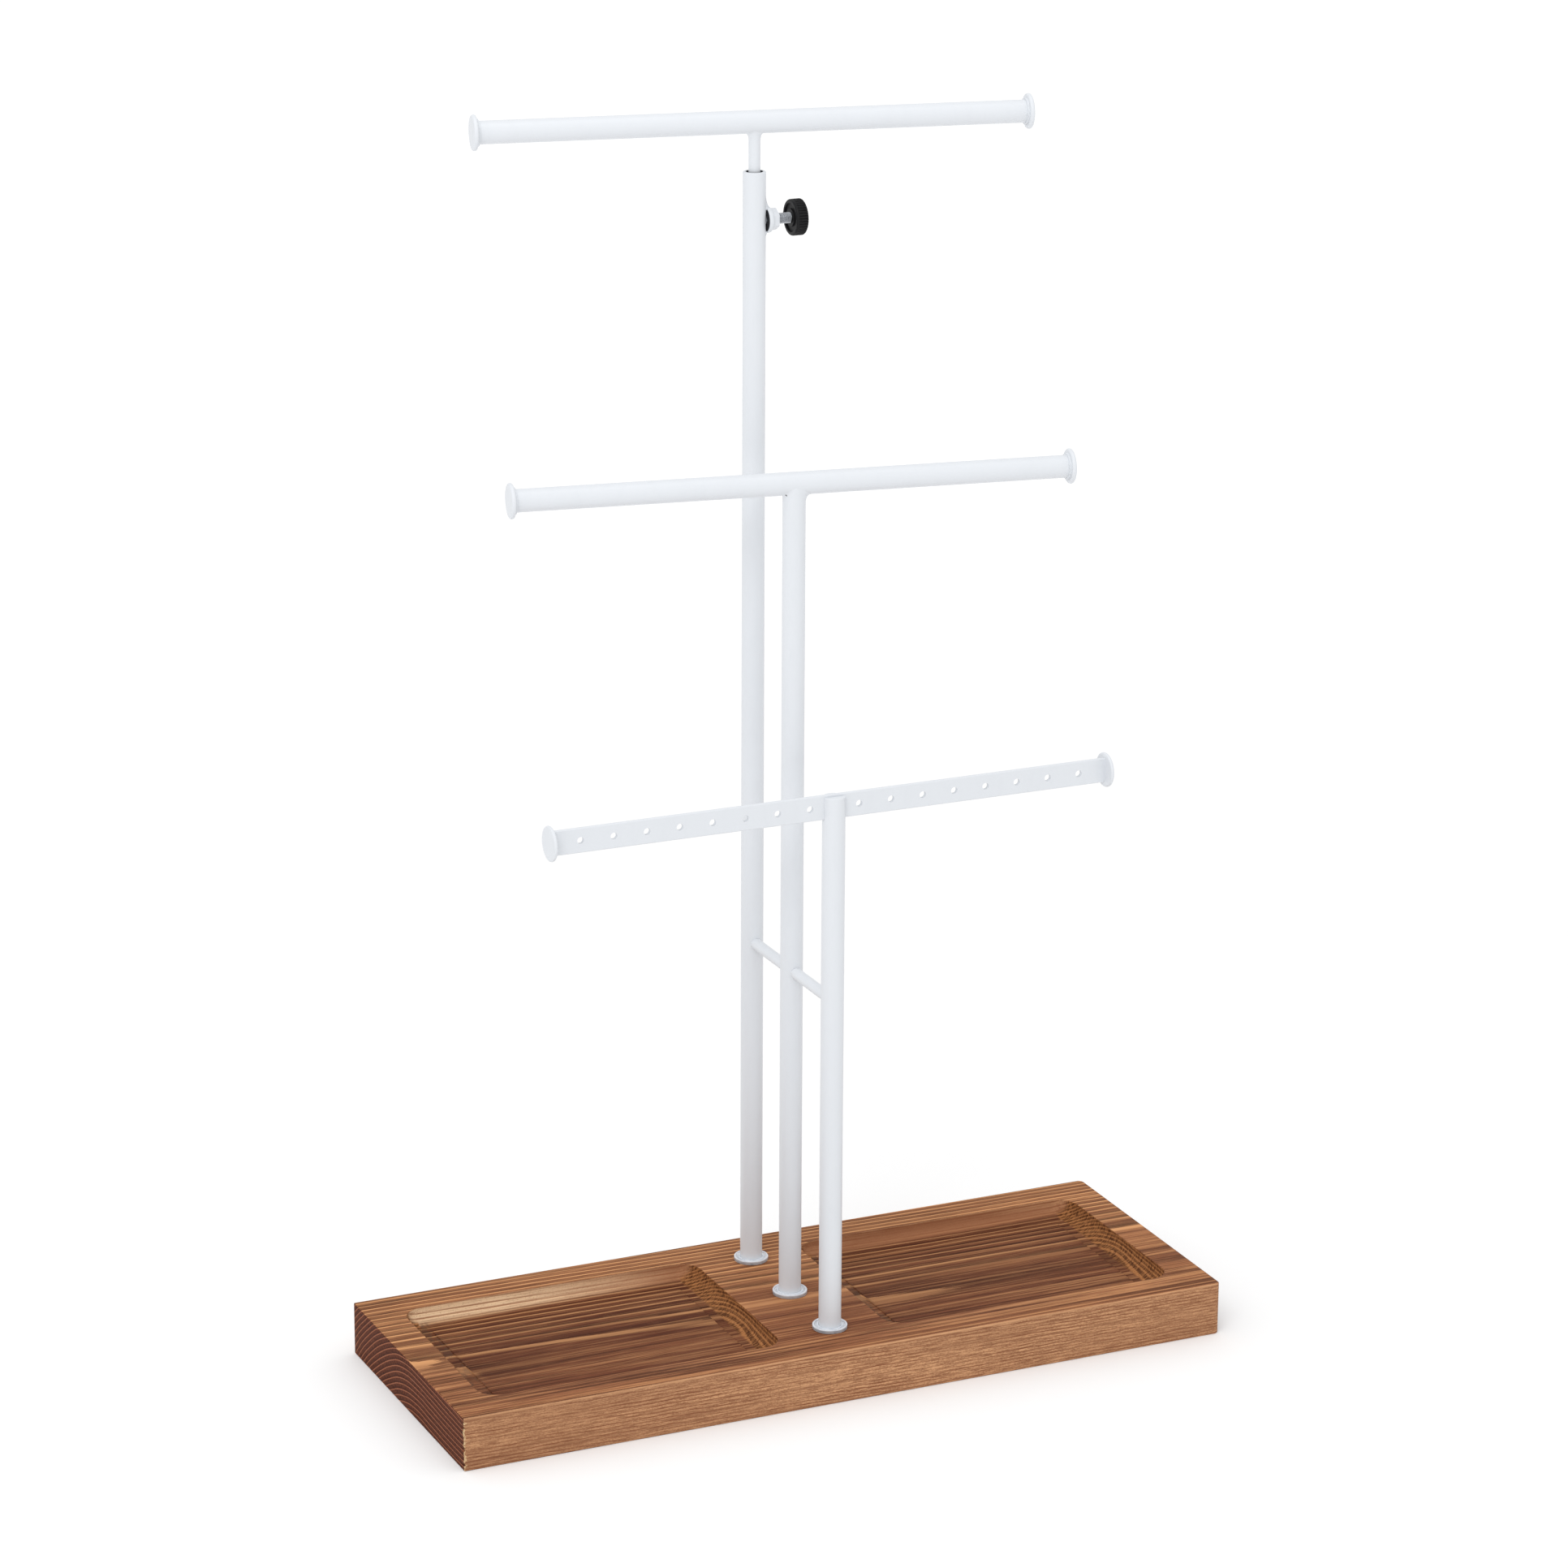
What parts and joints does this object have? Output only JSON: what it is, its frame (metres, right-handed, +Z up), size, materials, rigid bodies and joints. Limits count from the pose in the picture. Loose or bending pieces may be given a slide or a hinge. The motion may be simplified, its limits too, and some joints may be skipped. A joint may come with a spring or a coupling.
{
  "type": "jewellery tree stand",
  "caption": "Tabletop jewellery tree: a stained pine board with two milled trays, round T bars on steel poles, a holed earring bar and a top T that telescopes and turns in a screw clamp",
  "frame": {"origin": "centre of the board's underside, on the surface that the stand rests on", "axes": "+X along the board towards its rounded right end, +Y from the earring bar to the tallest pole, +Z up along the poles"},
  "size_m": [0.3, 0.1154, 0.4553],
  "materials": {
    "stained_pine": "brown stain under a thin satin oil, with open grain",
    "white_coat": "satin white powder coat on mild steel",
    "nylon": "natural nylon",
    "zinc": "bright zinc plate",
    "black_plastic": "satin moulded black",
    "clear_plastic": "clear moulded washer with a grey cast"
  },
  "bodies": {
    "stand": {"wood_board": "stained_pine", "rear_pole": "white_coat", "mid_pole": "white_coat", "front_pole": "white_coat", "tie_rod_rear": "white_coat", "tie_rod_front": "white_coat", "mid_bar": "white_coat", "mid_cap_left": "white_coat", "mid_cap_right": "white_coat", "earring_bar": "white_coat", "earring_cap_left": "white_coat", "earring_cap_right": "white_coat", "clamp_nut": "white_coat", "foot_cup_rear": "clear_plastic", "foot_cup_mid": "clear_plastic", "foot_cup_front": "clear_plastic", "pole_insert_rear": "zinc", "pole_insert_mid": "zinc", "pole_insert_front": "zinc", "base_screw_rear": "zinc", "base_screw_mid": "zinc", "base_screw_front": "zinc", "plate_washer_rear": "zinc", "plate_washer_mid": "zinc", "plate_washer_front": "zinc"},
    "slider": {"guide_bush": "nylon"},
    "top_tee": {"telescopic_rod": "white_coat", "top_bar": "white_coat", "top_cap_left": "white_coat", "top_cap_right": "white_coat"},
    "clamp_shank": {"clamp_screw": "zinc"},
    "knob": {"clamp_knob": "black_plastic"}
  },
  "joints": [
    {"name": "height_slide", "type": "slide", "parent": "stand", "child": "slider", "axis": [0, 0, 1], "range_m": [-0.01, 0.09]},
    {"name": "top_swivel", "type": "hinge", "parent": "slider", "child": "top_tee", "pos_m": [0, 0.035, 0.4], "axis": [0, 0, 1], "continuous": true},
    {"name": "clamp_travel", "type": "slide", "parent": "stand", "child": "clamp_shank", "axis": [1, 0, 0], "range_m": [0, 0.0021]},
    {"name": "clamp_turn", "type": "hinge", "parent": "clamp_shank", "child": "knob", "pos_m": [0.014, 0.035, 0.414], "axis": [1, 0, 0], "range_deg": [0, 1080]}
  ],
  "couplings": [
    {"joint": "clamp_turn", "follows": "clamp_travel", "rad_per_m": 8976}
  ]
}
